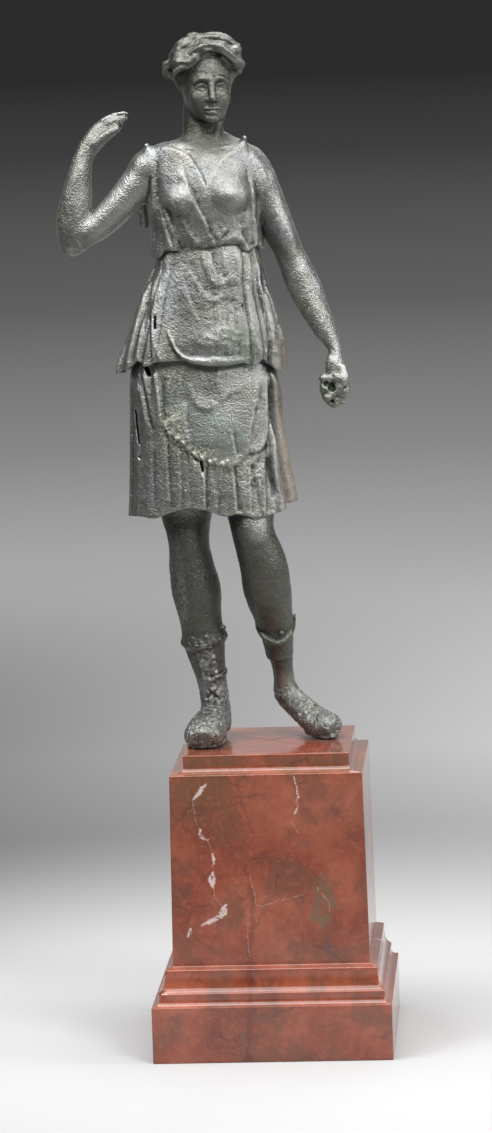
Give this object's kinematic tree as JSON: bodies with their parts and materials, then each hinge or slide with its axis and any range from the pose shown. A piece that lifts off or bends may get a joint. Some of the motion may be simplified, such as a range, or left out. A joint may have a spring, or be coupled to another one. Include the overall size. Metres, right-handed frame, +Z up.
{
  "type": "huntress goddess statuette on a plinth",
  "caption": "Weathered bronze statuette of a standing huntress in a short belted dress and boots, an arm raised, on a moulded red marble plinth.",
  "frame": {"origin": "centre of the plinth's square underside", "axes": "+Z up, -Y the side that the plinth's front and the figure face, +X the viewer's right when facing the front"},
  "size_m": [0.092, 0.0696, 0.2953],
  "materials": {
    "bronze": "dark pitted ancient bronze, glossy, with green corrosion",
    "marble": "polished red marble with dark and white veins"
  },
  "bodies": {
    "root": {"figure": "bronze", "plinth": "marble"}
  },
  "joints": []
}
